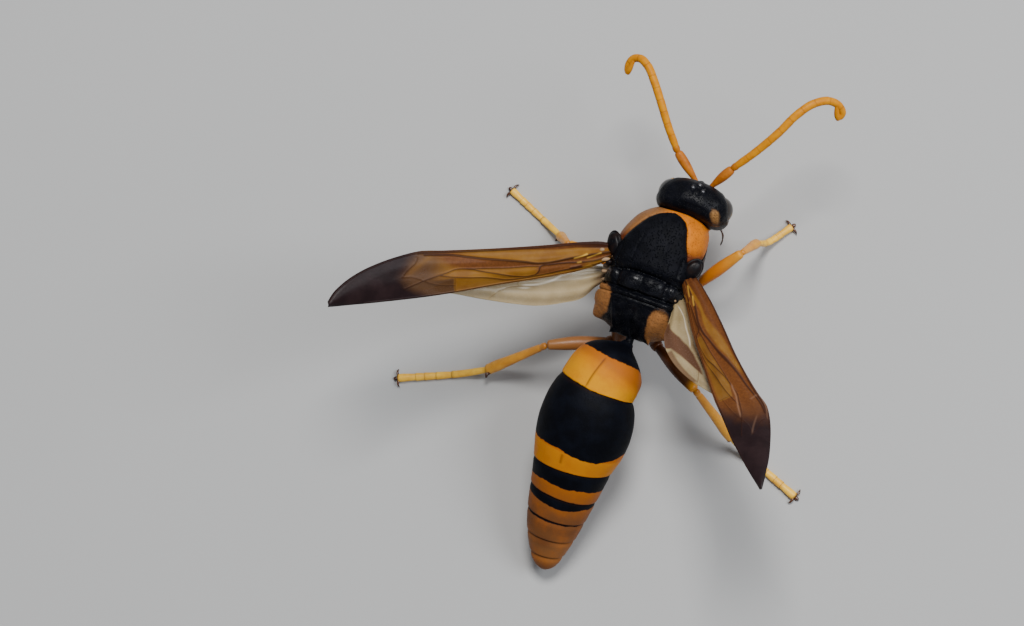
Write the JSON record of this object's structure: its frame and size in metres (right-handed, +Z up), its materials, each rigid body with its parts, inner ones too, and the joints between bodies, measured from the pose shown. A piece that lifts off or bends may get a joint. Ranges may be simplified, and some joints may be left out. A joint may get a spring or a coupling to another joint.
{
  "type": "potter wasp",
  "caption": "Life-size still model of a large black and orange potter wasp at rest, its folded amber forewings half raised.",
  "frame": {"origin": "on the floor, under the middle of the model's bounding box", "axes": "+X to the wasp's left, +Y towards the tip of its abdomen, +Z up; the feet stand on z = 0"},
  "size_m": [0.0294, 0.0332, 0.0194],
  "materials": {
    "head_chitin": "finely pitted black, satin sheen",
    "clypeus_chitin": "satin orange",
    "eye_lens": "glossy dark brown-grey facets",
    "claw_chitin": "polished dark red-brown",
    "feeler_chitin": "satin golden orange",
    "collar_chitin": "satin orange, browner at the hind corners",
    "thorax_chitin": "velvety pitted black with tan sides at the rear",
    "tegula_chitin": "glossy black-brown",
    "forewing_membrane": "clear amber membrane, smoky at the tip",
    "hindwing_membrane": "clear pale membrane",
    "abdomen_chitin": "velvety black and orange bands",
    "leg_chitin": "satin orange"
  },
  "bodies": {
    "root": {"head": "head_chitin", "clypeus": "clypeus_chitin", "eye_left": "eye_lens", "eye_right": "eye_lens", "mandible_left": "claw_chitin", "mandible_right": "claw_chitin", "scape_left": "feeler_chitin", "scape_right": "feeler_chitin", "flagellum_left": "feeler_chitin", "flagellum_right": "feeler_chitin", "pronotum": "collar_chitin", "mesothorax": "thorax_chitin", "propodeum": "thorax_chitin", "tegula_left": "tegula_chitin", "tegula_right": "tegula_chitin", "forewing_left": "forewing_membrane", "forewing_right": "forewing_membrane", "hindwing_left": "hindwing_membrane", "hindwing_right": "hindwing_membrane", "abdomen_1": "abdomen_chitin", "abdomen_2": "abdomen_chitin", "abdomen_3": "abdomen_chitin", "abdomen_4": "abdomen_chitin", "abdomen_5": "abdomen_chitin", "abdomen_6": "abdomen_chitin", "abdomen_7": "abdomen_chitin", "coxa_front_left": "leg_chitin", "femur_front_left": "leg_chitin", "tibia_front_left": "leg_chitin", "tarsus_front_left": "leg_chitin", "coxa_front_right": "leg_chitin", "femur_front_right": "leg_chitin", "tibia_front_right": "leg_chitin", "tarsus_front_right": "leg_chitin", "coxa_mid_left": "leg_chitin", "femur_mid_left": "leg_chitin", "tibia_mid_left": "leg_chitin", "tarsus_mid_left": "leg_chitin", "coxa_mid_right": "leg_chitin", "femur_mid_right": "leg_chitin", "tibia_mid_right": "leg_chitin", "tarsus_mid_right": "leg_chitin", "coxa_hind_left": "leg_chitin", "femur_hind_left": "leg_chitin", "tibia_hind_left": "leg_chitin", "tarsus_hind_left": "leg_chitin", "coxa_hind_right": "leg_chitin", "femur_hind_right": "leg_chitin", "tibia_hind_right": "leg_chitin", "tarsus_hind_right": "leg_chitin"}
  },
  "joints": []
}
